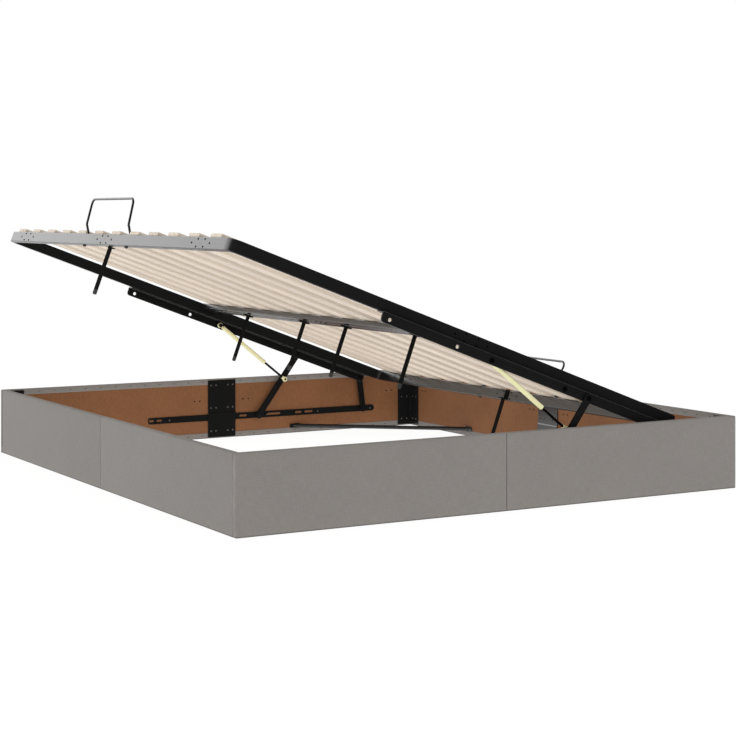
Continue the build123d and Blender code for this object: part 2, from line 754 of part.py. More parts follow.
# Gas struts: a barrel pinned to the moving rail and a rod that ends at the long arm
barrel_end = barrel_start + barrel_long
for side, sx in SIDES:
    middle = bar_plane(sx * strut_x, strut_pin, strut_foot)
    with BuildPart() as barrel:
        with BuildSketch(middle) as half:
            with BuildLine():
                Polyline(
                    (0, 0),
                    (0, barrel_neck_radius),
                    (barrel_start, barrel_neck_radius),
                    (barrel_start, barrel_radius),
                    (barrel_end, barrel_radius),
                    (barrel_end, rod_radius + running_play),
                    (barrel_floor, rod_radius + running_play),
                    (barrel_floor, 0),
                    close=True,
                )
            make_face()
            fillet(half.vertices().group_by(Axis.Y)[-1], radius=barrel_round)
        revolve(axis=Axis(middle.origin, middle.x_dir))
        with BuildSketch(middle) as eye:
            Circle(strut_eye_radius)
        extrude(amount=strut_eye_thick / 2, both=True)
        with BuildSketch(middle) as hole:
            Circle(strut_pin_radius + running_play)
        extrude(amount=strut_eye_thick, both=True, mode=Mode.SUBTRACT)
    keep(barrel, f"strut_barrel_{side}")

    axis = Plane(origin=middle.origin, x_dir=(1, 0, 0), z_dir=middle.x_dir)
    with BuildPart() as rod:
        with BuildSketch(axis.offset(barrel_end - rod_hidden)) as shaft:
            Circle(rod_radius)
        extrude(amount=strut_open - barrel_end + rod_hidden)
        peg(box_section(sx * strut_eye_in), strut_foot, strut_eye_radius, sx * strut_eye_thick)
        peg(box_section(sx * strut_eye_in), strut_foot, collar_radius, -sx * pin_head_high)
    keep(rod, f"strut_rod_{side}")

print("arm pivot, pin", arm_pivot, arm_pin, "link pivot, pin", link_pivot, link_pin)
print("turns: arm", arm_turn, "lid", lid_turn, "link", link_turn, "strut", strut_turn)
print("strut open", strut_open, "shut", strut_shut, "stroke", strut_stroke)
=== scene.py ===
import json
from math import cos, pi, radians, sin, tan

import bmesh
import bpy
import numpy as np
from bpy.props import FloatProperty, FloatVectorProperty, IntProperty, PointerProperty
from bpy.types import Operator, Panel, PropertyGroup
from mathutils import Matrix, Vector


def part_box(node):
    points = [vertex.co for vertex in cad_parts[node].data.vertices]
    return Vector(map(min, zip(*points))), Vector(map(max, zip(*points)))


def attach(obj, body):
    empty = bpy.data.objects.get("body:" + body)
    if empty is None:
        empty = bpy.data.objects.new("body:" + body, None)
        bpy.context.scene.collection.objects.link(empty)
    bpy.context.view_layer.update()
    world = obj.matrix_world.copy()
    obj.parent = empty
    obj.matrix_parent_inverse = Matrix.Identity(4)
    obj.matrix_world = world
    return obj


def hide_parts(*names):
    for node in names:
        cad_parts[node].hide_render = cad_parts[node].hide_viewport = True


bl_info = {
    "name": "Ottoman Storage Bed",
    "version": (1, 0, 0),
    "blender": (4, 5, 0),
    "location": "View3D > Sidebar > Storage Bed",
    "description": "Finishes for a side-lifting storage bed: cloth, boards, steel, slats and struts",
    "category": "Add Mesh",
}

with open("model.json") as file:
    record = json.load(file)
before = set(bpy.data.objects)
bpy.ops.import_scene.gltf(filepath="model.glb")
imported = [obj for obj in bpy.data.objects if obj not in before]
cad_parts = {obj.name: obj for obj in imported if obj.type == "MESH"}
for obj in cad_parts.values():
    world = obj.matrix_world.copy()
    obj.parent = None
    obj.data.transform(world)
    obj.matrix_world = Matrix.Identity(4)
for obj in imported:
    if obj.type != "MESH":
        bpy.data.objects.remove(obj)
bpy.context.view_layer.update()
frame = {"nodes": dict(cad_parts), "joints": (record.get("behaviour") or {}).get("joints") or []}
nodes = frame["nodes"]

MM = 0.001

# Points nearer than MERGE are one point of a new mesh, and nearer than WELD one point of a CAD node.
MERGE = 1e-6
WELD = 1e-5

# Edges that turn by more than SHARP stay crisp, and by more than CORNER they are corners of a box.
SHARP = radians(35)
CORNER = 1.0

# Cosines: a face looks a way where its normal is past FACING, lies flat past FLAT, stands up under STEEP.
FACING = 0.9
FLAT = 0.7
STEEP = 0.6

INWARD = {
    "front": Vector((0, 1, 0)),
    "back": Vector((0, -1, 0)),
    "end_left": Vector((1, 0, 0)),
    "end_right": Vector((-1, 0, 0)),
}
PANELS = (
    "front_left", "front_right", "back_left", "back_right",
    "end_left_front", "end_left_back", "end_right_front", "end_right_back",
)


def number(label, about, default, **kind):
    return FloatProperty(name=label, description=about, default=default, **kind)


def length(label, about, millimetres):
    """A length that a user can change, in metres."""
    return number(label, about, millimetres * MM, unit="LENGTH", precision=4)


def share(label, about, default):
    return number(label, about, default, min=0, max=1, subtype="FACTOR")


def angle(label, about, degrees):
    return number(label, about, radians(degrees), subtype="ANGLE")


def numbers(label, about, default, subtype="NONE", **limits):
    kind = {"size": len(default), "subtype": subtype, **limits}
    return FloatVectorProperty(name=label, description=about, default=default, **kind)


def colour(label, about, default):
    return numbers(label, about, default, "COLOR", min=0, max=1)


class ClothValues(PropertyGroup):
    """Upholstery over the boards."""

    colour: colour("Cloth", "Taupe of the woven cover", (0.283, 0.263, 0.246))
    thread: length("Thread pitch", "Distance between two threads", 1.1)
    thick: length("Thickness", "Thickness of the cloth", 0.9)
    fold: length("Fold radius", "Radius of the cloth over a board's edge", 3)
    hem: length("Hem", "Cloth turned in along the inner side of a board", 22)
    # Painted shade: the cloth is darkened within this reach of its seams, the floor and other parts.
    seam: length("Seam shade", "How far from a seam the cloth is darker", 8)
    sheen: share("Sheen", "Soft light on the nap", 0.15)
    staple_long: length("Staple", "Width of a staple's crown", 10)
    staple_wire: length("Staple wire", "Thickness of a staple's wire", 1.2)
    staple_pitch: length("Staple pitch", "Distance between two staples", 62)
    staple_margin: length("Staple margin", "From a board's end to the first staple", 84)


class BoardValues(PropertyGroup):
    """Raw fibreboard inside the covers."""

    colour: colour("Board", "Reddish brown of the raw board", (0.262, 0.112, 0.046))
    fibre: length("Fibre", "Length of the pressed fibres", 5)
    # Painted shade: holes in the board are darkened up to this width.
    hole_shade: length("Hole shade", "Width of a hole that still looks dark", 12)


class SteelValues(PropertyGroup):
    """Powder-coated steel."""

    colour: colour("Powder coat", "Black of the coated steel", (0.013, 0.013, 0.013))
    # Painted highlight: the moving rails' rounded edges get this lighter grey, where they catch the light.
    edge_highlight: colour("Worn edge", "Colour of the moving rails' sheared edges", (0.16, 0.16, 0.16))
    edge: length("Edge round", "Rounding of the steel parts' edges", 0.5)
    index: number("Gloss index", "Index of the coat's gloss", 1.8)
    roughness: share("Roughness", "Roughness of the coat", 0.2)
    # Painted reflection: a glossy coat reflects strongly on faces that look across the bed and stays matt on
    # faces that look along it.
    matt: share("Matt gloss", "Gloss of the faces that look along the bed", 0.0)
    gloss: share("Full gloss", "Gloss of the faces that look across the bed", 0.5)


class FastenerValues(PropertyGroup):
    """Heads of the screws and bolts."""

    bolt: colour("Bolts", "Blackened zinc of the bolts", (0.02, 0.02, 0.021))
    bolt_roughness: share("Bolt roughness", "Roughness of the blackened zinc", 0.35)
    bolt_radius: length("Bolt head", "Radius of a bolt's head", 3.2)
    bolt_high: length("Bolt height", "Height of a bolt's head", 1.5)
    bolt_socket: length("Bolt socket", "Radius of a bolt's hexagon socket", 1.4)
    screw: colour("Screws", "Grey zinc of the screws", (0.16, 0.15, 0.14))
    screw_roughness: share("Screw roughness", "Roughness of the grey zinc", 0.3)
    screw_radius: length("Screw head", "Radius of a screw's head", 4)
    screw_high: length("Screw height", "Height of a screw's head", 2.4)
    screw_socket: length("Screw socket", "Radius of a screw's hexagon socket", 1.8)


class WireValues(PropertyGroup):
    """Wire mattress retainers, measured from the lid's top and the outer tubes' middle."""

    radius: length("Wire", "Radius of the wire", 4)
    half: length("Half width", "From the lid's middle to a leg of the wire", 183)
    top_half: length("Half top", "The same at the top of the wire", 178)
    tail: length("Tail", "How far the wire stands out under the tube", 3)
    low: length("Kink foot", "Height where the wire starts to lean", 3)
    kink: length("Kink", "Height of the kink", 31)
    high: length("Height", "Height of the wire's top", 117)
    lean: length("Lean", "How far the kink stands outside the tube's middle", 17)
    top_lean: length("Top lean", "The same at the top of the wire", 26.5)
    back_high: length("Back height", "Height of the back wire's top", 148)
    back_lean: length("Back lean", "Lean of the back wire at its kink", 46)
    back_top_lean: length("Back top lean", "The same at its top", 58)
    back_top: length("Half back top", "Half width of the back wire at its top", 205)
    bend: length("Bend", "Radius of the kink's bends", 10)
    corner: length("Corner", "Radius of the upper corners", 20)
    cap: length("Cap", "Radius of the caps on the wires' ends", 6)
    cap_high: length("Cap height", "Height of those caps", 6)


class SlatValues(PropertyGroup):
    """Bent plywood slats, modelled along the lid."""

    face: colour("Face veneer", "Pale beech of the faces", (0.86, 0.74, 0.61))
    edge: colour("Edge layers", "Glue lines of the edges", (0.83, 0.71, 0.58))
    plies: IntProperty(name="Plies", description="Layers of veneer in a slat's edge", default=7)
    count: IntProperty(name="Slats in a row", description="Slats in each of the two rows", default=12)
    wide: length("Width", "Width of a slat", 73)
    thick: length("Thickness", "Thickness of a slat", 12)
    camber: length("Camber", "Rise of a slat's middle", 0.8)
    seat: length("Seat", "Flat end of a slat on its rail", 15)
    round: length("Edge round", "Rounding of a slat's long edges", 2.5)
    rim: length("Rim round", "Rounding of a slat's ends", 0.8)
    end_gap: length("End gap", "From the lid's end to the middle of the first slat", 120)
    inset: length("Inset", "From the lid's edge to the slat's end", 3)
    gap: length("Middle gap", "Between the two rows", 3)


class LidValues(PropertyGroup):
    """Where the open lid lies."""

    tilt: angle("Tilt", "Tilt of the open lid", 20.3)
    front_y: length("Front edge", "Place of the lid's front edge across the bed", -895)
    back_z: length("Back height", "Height of the lid's top at its back edge", 237)
    depth: length("Depth", "Depth of the lid along its slope", 1732)
    length: length("Length", "Length of the lid", 1911)
    tube: length("Tube", "Depth of the frame's tube", 20)
    tube_high: length("Tube height", "Height of the frame's tube", 38)
    middle_rail: length("Middle rail", "Height of the rail under the slats' inner ends", 18)
    splice_bolt: length("Splice bolt", "From the lid's middle to the outer bolt", 40)
    splice_pair: length("Splice pair", "From the lid's middle to the inner two bolts", 18)
    splice_wide: length("Splice width", "From the rail's seam to each of those two bolts", 9)


class StrutValues(PropertyGroup):
    """Gas struts."""

    barrel: colour("Barrel", "Cream paint of the barrel", (0.98, 0.94, 0.56))
    paint_roughness: share("Paint roughness", "Roughness of the cream paint", 0.35)
    rod: colour("Rod", "Dark hardened rod", (0.02, 0.02, 0.022))
    rod_roughness: share("Rod roughness", "Roughness of the rod", 0.18)
    shaft: length("Shaft", "Radius of the rod", 4.5)
    eye: length("Eye", "Radius of the eye on the rod", 10)
    eye_thick: length("Eye thickness", "Thickness of that eye", 10)
    sleeve: length("Sleeve", "Radius of the sleeve above the eye", 6.5)
    sleeve_long: length("Sleeve length", "Reach of the sleeve along the rod", 15.5)
    cap: length("Cap", "Radius of the black cap in the eye", 4.5)
    cap_high: length("Cap height", "How far the cap stands out of the eye", 2.5)
    lip: length("Lip", "Width of the slope round the sleeve, the eye and the cap", 1.5)


class FootValues(PropertyGroup):
    """Feet of the legs."""

    rubber: colour("Rubber", "Black rubber", (0.005, 0.005, 0.005))
    roughness: share("Roughness", "Roughness of the rubber", 0.7)


class StageValues(PropertyGroup):
    """Floor, light and camera."""

    floor: colour("Floor", "Paint of the floor, which its own glow turns white", (0.14, 0.14, 0.14))
    floor_half: number("Floor reach", "From the origin to the floor's sides", 40, unit="LENGTH")
    glow: share("Floor glow", "Light of the floor where it is seen", 0.93)
    bounce: share("Floor bounce", "Light that the floor sends up to the object", 1.0)
    sky: number("Sky", "Strength of the soft light all round", 0.55)
    shine: number("Shine", "Brightness of the panel that metal reflects", 2.1)
    dim: number("Dim side", "Brightness that metal reflects elsewhere", 0.04)
    shine_way: numbers("Way to the panel", "Where the bright panel stands", (-0.87, -0.38, 0.32), "DIRECTION")
    panel_edge: numbers("Panel edge", "Cosines to that way where the panel starts and is full", (0.35, 0.8))
    floor_edge: numbers("Floor edge", "Where along that way the reflected floor is dim and full", (-0.4, 0.1))
    key: number("Key lamp", "Power of the large lamp", 22, unit="POWER")
    key_side: number("Key size", "Side of the large lamp", 3.0, unit="LENGTH")
    key_place: numbers("Key place", "Place of the large lamp", (1.6, -5.0, 3.2), "TRANSLATION")
    fill: number("Fill lamp", "Power of the small lamp", 10, unit="POWER")
    fill_side: number("Fill size", "Side of the small lamp", 2.5, unit="LENGTH")
    fill_place: numbers("Fill place", "Place of the small lamp", (4.6, 1.4, 2.6), "TRANSLATION")
    aim: numbers("Aim", "Where both lamps point", (0, 0, 0.3), "TRANSLATION")
    focal: number("Focal length", "Camera's focal length in mm", 85.83)
    place: numbers("Camera", "Place of the camera", (5.414, -3.056, 0.907), "TRANSLATION")
    turn: angle("Turn", "Way the camera looks", 150.39)
    shift: numbers("Shift", "Sideways and upward shift of the level camera", (0.0273, -0.2107))


GROUPS = {
    "bed_cloth": ClothValues,
    "bed_board": BoardValues,
    "bed_steel": SteelValues,
    "bed_fasteners": FastenerValues,
    "bed_wire": WireValues,
    "bed_slats": SlatValues,
    "bed_lid": LidValues,
    "bed_struts": StrutValues,
    "bed_feet": FootValues,
    "bed_stage": StageValues,
}


# Shader helpers


def add_node(tree, kind, values=None, **settings):
    """A shader node with its settings, and its sockets' values or links."""
    made = tree.nodes.new(f"ShaderNode{kind}")
    for key, value in settings.items():
        setattr(made, key, value)
    for key, value in (values or {}).items():
        if isinstance(value, bpy.types.NodeSocket):
            tree.links.new(value, made.inputs[key])
        else:
            made.inputs[key].default_value = value
    return made


def calc(operation, first, second=0.0):
    """Arithmetic on two values, at least one of them a socket, in that socket's tree."""
    socket = first if isinstance(first, bpy.types.NodeSocket) else second
    return add_node(socket.id_data, "Math", {0: first, 1: second}, operation=operation).outputs[0]


def times(first, second):
    return calc("MULTIPLY", first, second)


def plus(first, second):
    return calc("ADD", first, second)


def spread(value, span, result):
    """Value carried from one span to another, and held at the ends."""
    sockets = {
        "Value": value, "From Min": span[0], "From Max": span[1], "To Min": result[0], "To Max": result[1],
    }
    return add_node(value.id_data, "MapRange", sockets).outputs["Result"]


def scaled(vector, factors):
    """Vector with each of its three parts multiplied."""
    return add_node(vector.id_data, "VectorMath", {0: vector, 1: factors}, operation="MULTIPLY").outputs[0]


def along_way(vector, way):
    """How far a vector reaches along a way."""
    made = add_node(vector.id_data, "VectorMath", {0: vector, 1: way}, operation="DOT_PRODUCT")
    return made.outputs["Value"]


def split(vector):
    """The three parts of a vector."""
    return add_node(vector.id_data, "SeparateXYZ", {0: vector}).outputs


def by_ray(path, plain, mirrored):
    """One value for all rays but the glossy ones, and another for those."""
    either = {0: path["Is Glossy Ray"], 2: plain, 3: mirrored}
    return add_node(plain.id_data, "Mix", either, data_type="FLOAT").outputs[0]


def noise(vector, scale, detail, roughness=0.5):
    values = {"Vector": vector, "Scale": scale, "Detail": detail, "Roughness": roughness}
    return add_node(vector.id_data, "TexNoise", values).outputs["Fac"]


def new_effect(name, inputs, outputs):
    """An empty shader node group with named sockets. Returns the group, its inputs and its output node."""
    tree = bpy.data.node_groups.new(name, "ShaderNodeTree")
    for label, default in inputs.items():
        kind = "NodeSocketVector" if default is None else "NodeSocketFloat"
        socket = tree.interface.new_socket(label, in_out="INPUT", socket_type=kind)
        if default is not None:
            socket.default_value = default
    for label in outputs:
        tree.interface.new_socket(label, in_out="OUTPUT", socket_type="NodeSocketFloat")
    return tree, tree.nodes.new("NodeGroupInput").outputs, tree.nodes.new("NodeGroupOutput")


def put_out(tree, output, **values):
    for label, value in values.items():
        tree.links.new(value, output.inputs[label.capitalize()])


def use_effect(tree, name, values):
    return add_node(tree, "Group", values, node_tree=bpy.data.node_groups[name]).outputs


def build_mottle():
    """Broad uneven patches, such as handling marks and dye."""
    average = 0.5
    tree, given, output = new_effect("Mottle", {"Vector": None, "Size": 0.1, "Amount": 0.1}, ["Shade"])
    scale = calc("DIVIDE", 1.0, given["Size"])
    patch = noise(given["Vector"], scale, detail=4.0, roughness=0.6)
    swing = times(calc("SUBTRACT", patch, average), given["Amount"])
    put_out(tree, output, shade=plus(swing, 1.0))


def build_weave():
    """Plain weave with uneven threads."""
    waver_scale = 60.0
    waver_reach = 0.004
    slub_long = 35.0
    slub_fine = 900.0
    relief = 0.5
    contrast = 0.07
    tree, given, output = new_effect("Weave", {"Vector": None, "Pitch": 0.001}, ["Shade", "Height"])
    place = given["Vector"]
    turns = calc("DIVIDE", 2 * pi, given["Pitch"])
    parts = split(place)
    waver = times(noise(place, waver_scale, detail=2.0), waver_reach)
    warp = calc("SINE", times(plus(parts["X"], waver), turns))
    weft = calc("SINE", times(plus(parts["Y"], waver), turns))
    cross = times(warp, weft)
    slub_along = noise(scaled(place, (slub_long, slub_fine, 1.0)), 1.0, detail=2.0)
    slub_up = noise(scaled(place, (slub_fine, slub_long, 1.0)), 1.0, detail=2.0)
    slubs = plus(slub_along, slub_up)
    height = plus(times(cross, relief), slubs)
    tone = spread(slubs, (0.6, 1.4), (0.86, 1.14))
    shade = plus(tone, times(cross, contrast))
    put_out(tree, output, shade=shade, height=height)


def build_fibres():
    """Short pressed fibres, with a few dark flecks."""
    fine_scale = 4.0
    fleck_scale = 0.7
    stretch = (1.0, 1.0, 0.35)
    tree, given, output = new_effect("Fibres", {"Vector": None, "Length": 0.005}, ["Shade", "Height"])
    place = given["Vector"]
    scale = calc("DIVIDE", 1.0, given["Length"])
    fine = noise(place, times(scale, fine_scale), detail=5.0, roughness=0.7)
    long = noise(scaled(place, stretch), scale, detail=3.0, roughness=0.6)
    both = plus(fine, long)
    cells = {"Vector": place, "Scale": times(scale, fleck_scale)}
    distance = add_node(tree, "TexVoronoi", cells).outputs["Distance"]
    fleck = spread(distance, (0.02, 0.12), (0.16, 0.0))
    body = spread(both, (0.7, 1.3), (0.82, 1.18))
    put_out(tree, output, shade=calc("SUBTRACT", body, fleck), height=both)


def build_grain():
    """Rotary-cut veneer: long wandering figure and fine pores, along Y of the vector."""
    figure_scale = (38.0, 2.2, 38.0)
    pore_scale = (1400.0, 45.0, 1400.0)
    ring_count = 42.0
    contrast = 0.03
    tree, given, output = new_effect("Grain", {"Vector": None, "Seed": 0.0}, ["Shade", "Height"])
    shift = add_node(tree, "CombineXYZ", {axis: given["Seed"] for axis in "XYZ"}).outputs[0]
    moved = add_node(tree, "VectorMath", {0: given["Vector"], 1: shift}).outputs[0]
    figure = noise(scaled(moved, figure_scale), 1.0, detail=4.0, roughness=0.55)
    rings = calc("SINE", times(figure, ring_count))
    pores = noise(scaled(moved, pore_scale), 1.0, detail=2.0, roughness=0.6)
    tone = spread(pores, (0.3, 0.7), (0.93, 1.05))
    shade = plus(tone, times(rings, contrast))
    put_out(tree, output, shade=shade, height=pores)


def build_coat():
    """Orange peel and dust of a sprayed coat."""
    peel_scale = 900.0
    dust_scale = 14.0
    tree, given, output = new_effect("Coat", {"Vector": None, "Roughness": 0.3}, ["Roughness", "Height"])
    peel = noise(given["Vector"], peel_scale, detail=2.0)
    dust = noise(given["Vector"], dust_scale, detail=5.0, roughness=0.65)
    rough = plus(given["Roughness"], spread(dust, (0.3, 0.7), (-0.03, 0.05)))
    put_out(tree, output, roughness=rough, height=peel)


EFFECTS = (build_mottle, build_weave, build_fibres, build_grain, build_coat)


def new_material(name):
    """A new material. Returns its tree, its shader and its object coordinates."""
    material = bpy.data.materials.new(name)
    material.use_nodes = True
    tree = material.node_tree
    place = add_node(tree, "TexCoord").outputs["Object"]
    return tree, tree.nodes["Principled BSDF"], place


def paint(tree, shader, base, shade):
    """A plain colour made lighter or darker over the surface."""
    tint = add_node(tree, "VectorMath", {0: base, "Scale": shade}, operation="SCALE").outputs[0]
    tree.links.new(tint, shader.inputs["Base Color"])


def bump(tree, shader, height, strength, distance):
    values = {"Height": height, "Strength": strength, "Distance": distance}
    tree.links.new(add_node(tree, "Bump", values).outputs["Normal"], shader.inputs["Normal"])


def set_plain(shader, **values):
    """Values that are the same all over the surface, on the shader's own sockets."""
    for label, value in values.items():
        shader.inputs[label.replace("_", " ")].default_value = value


def cloth_material(name, values):
    tree, shader, place = new_material(name)
    along = add_node(tree, "UVMap", uv_map="girth").outputs["UV"]
    weave = use_effect(tree, "Weave", {"Vector": along, "Pitch": values.thread})
    patches = use_effect(tree, "Mottle", {"Vector": place, "Size": 0.12, "Amount": 0.10})
    shade = times(weave["Shade"], patches["Shade"])
    # Painted shade: ambient occlusion darkens the cloth in its seams and where it meets the floor and other
    # parts.
    seam = add_node(tree, "AmbientOcclusion", {"Distance": values.seam}).outputs["AO"]
    shade = times(shade, spread(seam, (0.3, 0.9), (0.25, 1.0)))
    paint(tree, shader, values.colour, shade)
    set_plain(shader, Roughness=0.92, Specular_IOR_Level=0.2)
    set_plain(shader, Sheen_Weight=values.sheen, Sheen_Roughness=0.5)
    bump(tree, shader, weave["Height"], strength=0.35, distance=0.4 * MM)


def board_material(name, values):
    tree, shader, place = new_material(name)
    fibres = use_effect(tree, "Fibres", {"Vector": place, "Length": values.fibre})
    patches = use_effect(tree, "Mottle", {"Vector": place, "Size": 0.16, "Amount": 0.45})
    shade = times(fibres["Shade"], patches["Shade"])
    # Painted shade: ambient occlusion of the board's own shape darkens its holes.
    reach = {"Distance": values.hole_shade}
    hole_shade = add_node(tree, "AmbientOcclusion", reach, only_local=True).outputs["AO"]
    shade = times(shade, spread(hole_shade, (0.6, 0.9), (0.0, 1.0)))
    paint(tree, shader, values.colour, shade)
    set_plain(shader, Roughness=0.75, Specular_IOR_Level=0.3)
    bump(tree, shader, fibres["Height"], strength=0.25, distance=0.3 * MM)


def coated(name, tone, roughness, patch, amount, strength, relief):
    """Material with a sprayed coat's relief and a patchy tone. Returns its shader."""
    tree, shader, place = new_material(name)
    coat = use_effect(tree, "Coat", {"Vector": place, "Roughness": roughness})
    patches = use_effect(tree, "Mottle", {"Vector": place, "Size": patch, "Amount": amount})
    paint(tree, shader, tone, patches["Shade"])
    tree.links.new(coat["Roughness"], shader.inputs["Roughness"])
    bump(tree, shader, coat["Height"], strength, relief)
    return shader


def coat_material(name, tone, roughness, gloss, values):
    """Sprayed coat over metal. A glossy one is matt on the faces that look along the bed, and its gloss on
    the faces that look across the bed is a painted reflection.
    """
    shader = coated(name, tone, roughness, patch=0.05, amount=0.2, strength=0.02, relief=0.2 * MM)
    set_plain(shader, IOR=values.index, Specular_IOR_Level=gloss)
    # Painted reflection: the specular level follows the way a face looks, full across the bed and matt along
    # it.
    if gloss > values.matt:
        tree = shader.id_data
        facing = add_node(tree, "TexCoord").outputs["Normal"]
        across = calc("ABSOLUTE", split(facing)["Y"])
        level = spread(across, (0.3, 0.8), (values.matt, gloss))
        tree.links.new(level, shader.inputs["Specular IOR Level"])


def metal_material(name, tone, roughness):
    """Bare or blackened metal, a little uneven."""
    shader = coated(name, tone, roughness, patch=0.01, amount=0.5, strength=0.1, relief=0.1 * MM)
    set_plain(shader, Metallic=1.0)


def rubber_material(name, values):
    tone = values.rubber
    shader = coated(name, tone, values.roughness, patch=0.01, amount=0.6, strength=0.3, relief=0.3 * MM)
    set_plain(shader, Specular_IOR_Level=0.1)


def veneer_material(name, tone, values, layered):
    """Clear-coated veneer, or the layered edge of the same plywood. Its tone changes by bands of X."""
    band = 1.15 * values.wide
    seed_step = 3.7
    tree, shader, place = new_material(name)
    along = add_node(tree, "UVMap", uv_map="along").outputs["UV"]
    which = calc("FLOOR", calc("DIVIDE", split(place)["X"], band))
    chance = add_node(tree, "TexWhiteNoise", {"W": which}, noise_dimensions="1D").outputs["Value"]
    grain = use_effect(tree, "Grain", {"Vector": along, "Seed": times(which, seed_step)})
    shade = times(grain["Shade"], spread(chance, (0.0, 1.0), (0.94, 1.04)))
    if layered:
        across = split(along)["X"]
        layers = calc("SINE", times(across, 2 * pi * values.plies / values.thick))
        shade = times(shade, spread(layers, (-1.0, 1.0), (0.78, 1.25)))
    paint(tree, shader, tone, shade)
    set_plain(shader, Roughness=0.5)
    bump(tree, shader, grain["Height"], strength=0.15, distance=0.2 * MM)


def finish(name):
    """The material of that name, made on its first use."""
    found = bpy.data.materials.get(name)
    if found:
        return found
    if not bpy.data.node_groups:
        for build in EFFECTS:
            build()
    scene = bpy.context.scene
    steel = scene.bed_steel
    zinc = scene.bed_fasteners
    struts = scene.bed_struts
    slats = scene.bed_slats
    makers = {
        "taupe_cloth": (cloth_material, scene.bed_cloth),
        "fibreboard": (board_material, scene.bed_board),
        "black_coat": (coat_material, steel.colour, steel.roughness, steel.gloss, steel),
        "matt_coat": (coat_material, steel.colour, steel.roughness, steel.matt, steel),
        # The edge highlight coat is a painted highlight: a lighter grey on the moving rails' rounded edges.
        "worn_coat": (coat_material, steel.edge_highlight, steel.roughness, steel.gloss, steel),
        "cream_paint": (coat_material, struts.barrel, struts.paint_roughness, steel.gloss, steel),
        "black_zinc": (metal_material, zinc.bolt, zinc.bolt_roughness),
        "grey_zinc": (metal_material, zinc.screw, zinc.screw_roughness),
        "dark_rod": (metal_material, struts.rod, struts.rod_roughness),
        "slat_face": (veneer_material, slats.face, slats, False),
        "slat_edge": (veneer_material, slats.edge, slats, True),
        "rubber": (rubber_material, scene.bed_feet),
    }
    maker, *values = makers[name]
    maker(name, *values)
    return bpy.data.materials[name]


# Mesh helpers


def on_lid(x, along, height):
    """A place on the tilted lid: across, along the slope from its front edge, and above its top."""
    lid = bpy.context.scene.bed_lid
    front = Matrix.Translation((0, lid.front_y, lid.back_z + lid.depth * sin(lid.tilt)))
    return front @ Matrix.Rotation(-lid.tilt, 4, "X") @ Matrix.Translation((x, along, height))


def turn_to(way):
    """The turn that carries Z to a way."""
    return way.to_track_quat("Z", "Y").to_matrix().to_4x4()


def as_mesh(bm, name):
    """The mesh of a bmesh, which is freed."""
    mesh = bpy.data.meshes.new(name)
    bm.to_mesh(mesh)
    bm.free()
    return mesh


def add_object(name, data):
    made = bpy.data.objects.new(name, data)
    bpy.context.scene.collection.objects.link(made)
    return made


def new_piece(bm, name, body, slot, *materials):
    """A finished bmesh as a piece that rides on a body."""
    mesh = as_mesh(bm, name)
    mesh.shade_smooth()
    mesh.set_sharp_from_angle(angle=SHARP)
    for material in materials:
        mesh.materials.append(finish(material))
    piece = add_object(name, mesh)
    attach(piece, body)
    return piece


def dress(name, *materials, crisp=False):
    """Finish on a CAD node, with its edges rounded or left crisp. A second finish is the edges'."""
    piece = nodes[name]
    piece.data.materials.clear()
    for material in materials:
        piece.data.materials.append(finish(material))
    piece.data.shade_smooth()
    piece.modifiers.new("Joined", "WELD").merge_threshold = WELD
    if crisp:
        piece.modifiers.new("Creases", "EDGE_SPLIT").split_angle = SHARP
    else:
        bevel = piece.modifiers.new("Edges", "BEVEL")
        bevel.width = bpy.context.scene.bed_steel.edge
        bevel.segments = 2
        bevel.limit_method = "ANGLE"
        bevel.angle_limit = SHARP
        bevel.use_clamp_overlap = False
        bevel.harden_normals = True
        bevel.material = len(materials) - 1
        piece.modifiers.new("Flats", "WEIGHTED_NORMAL").keep_sharp = True


def dress_all(starts, *materials):
    """One finish on all the CAD nodes whose names start so."""
    for name in nodes:
        if name.startswith(starts):
            dress(name, *materials)


def block(middle, size):
    """A new bmesh with a box of this size, its centre at a place."""
    bm = bmesh.new()
    place = Matrix.Translation(middle) @ Matrix.Diagonal((*size, 1))
    bmesh.ops.create_cube(bm, size=1, matrix=place)
    return bm


def round_edges(bm, edges, radius, segments):
    bmesh.ops.bevel(
        bm, geom=edges, offset=radius, offset_type="OFFSET", affect="EDGES",
        segments=segments, profile=0.5, material=-1,
    )


def copies(pattern, places):
    """A new bmesh with a copy of a mesh at each place."""
    bm = bmesh.new()
    for place in places:
        start = len(bm.verts)
        bm.from_mesh(pattern)
        bm.verts.ensure_lookup_table()
        bmesh.ops.transform(bm, matrix=place, verts=bm.verts[start:])
    return bm


def turned(outline, steps):
    """A new bmesh of an outline of radii and heights, spun about Z."""
    bm = bmesh.new()
    points = [bm.verts.new((radius, 0, height)) for radius, height in outline]
    edges = [bm.edges.new(pair) for pair in zip(points, points[1:])]
    bmesh.ops.spin(
        bm, geom=points + edges, cent=(0, 0, 0), axis=(0, 0, 1), dvec=(0, 0, 0),
        angle=2 * pi, steps=steps, use_merge=True, use_duplicate=False,
    )
    bmesh.ops.remove_doubles(bm, verts=bm.verts, dist=MERGE)
    bmesh.ops.recalc_face_normals(bm, faces=bm.faces)
    return bm


